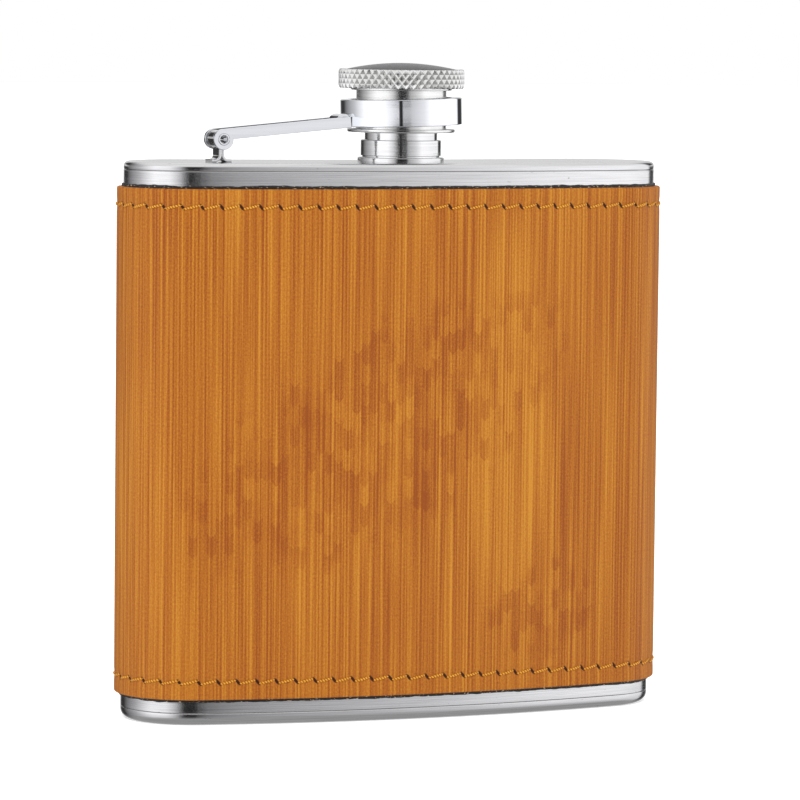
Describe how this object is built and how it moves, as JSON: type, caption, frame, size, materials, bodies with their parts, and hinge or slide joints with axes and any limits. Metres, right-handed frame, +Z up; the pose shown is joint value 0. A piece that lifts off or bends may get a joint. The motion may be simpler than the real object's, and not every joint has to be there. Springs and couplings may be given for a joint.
{
  "type": "hip flask",
  "caption": "Curved steel hip flask in a stitched leather-look wrap, with a knurled screw cap held captive by a swivel ring on a hinged arm.",
  "frame": {"origin": "on the flat rest face, under the axis of the neck", "axes": "+Z up along the neck's axis, +Y from the convex front to the hollow back, +X from the hinge towards the neck"},
  "size_m": [0.0952, 0.0286, 0.1073],
  "materials": {
    "steel": "satin stainless steel with a faint vertical grain",
    "polished_steel": "polished stainless steel",
    "chrome": "bright chrome plate",
    "cap_steel": "turned steel, diamond-knurled rim",
    "dome": "black, glossy",
    "seal": "soft white silicone",
    "wrap": "printed leather-look sheet with an upright wood-grain pattern, satin",
    "lining": "dark backing cloth",
    "thread": "twisted golden sewing thread"
  },
  "bodies": {
    "flask": {"body_shell": "steel", "top_plate": "steel", "bottom_plate": "steel", "neck": "polished_steel", "hinge_bracket": "polished_steel", "leather_wrap": "wrap", "wrap_lining": "lining", "top_stitching": "thread", "bottom_stitching": "thread", "seam_stitching": "thread"},
    "arm": {"hinge_arm": "chrome", "hinge_pin": "chrome", "swivel_ring": "chrome"},
    "cap": {"cap_head": "cap_steel", "cap_retainer": "cap_steel", "cap_dome": "dome", "cap_seal": "seal"}
  },
  "joints": [
    {"name": "arm_hinge", "type": "hinge", "parent": "flask", "child": "arm", "pos_m": [-0.03175, 0, 0.0948], "axis": [0, -1, 0], "range_deg": [0, 180]},
    {"name": "cap_spin", "type": "hinge", "parent": "arm", "child": "cap", "pos_m": [0, 0, 0.0993], "axis": [0, 0, 1], "continuous": true}
  ]
}
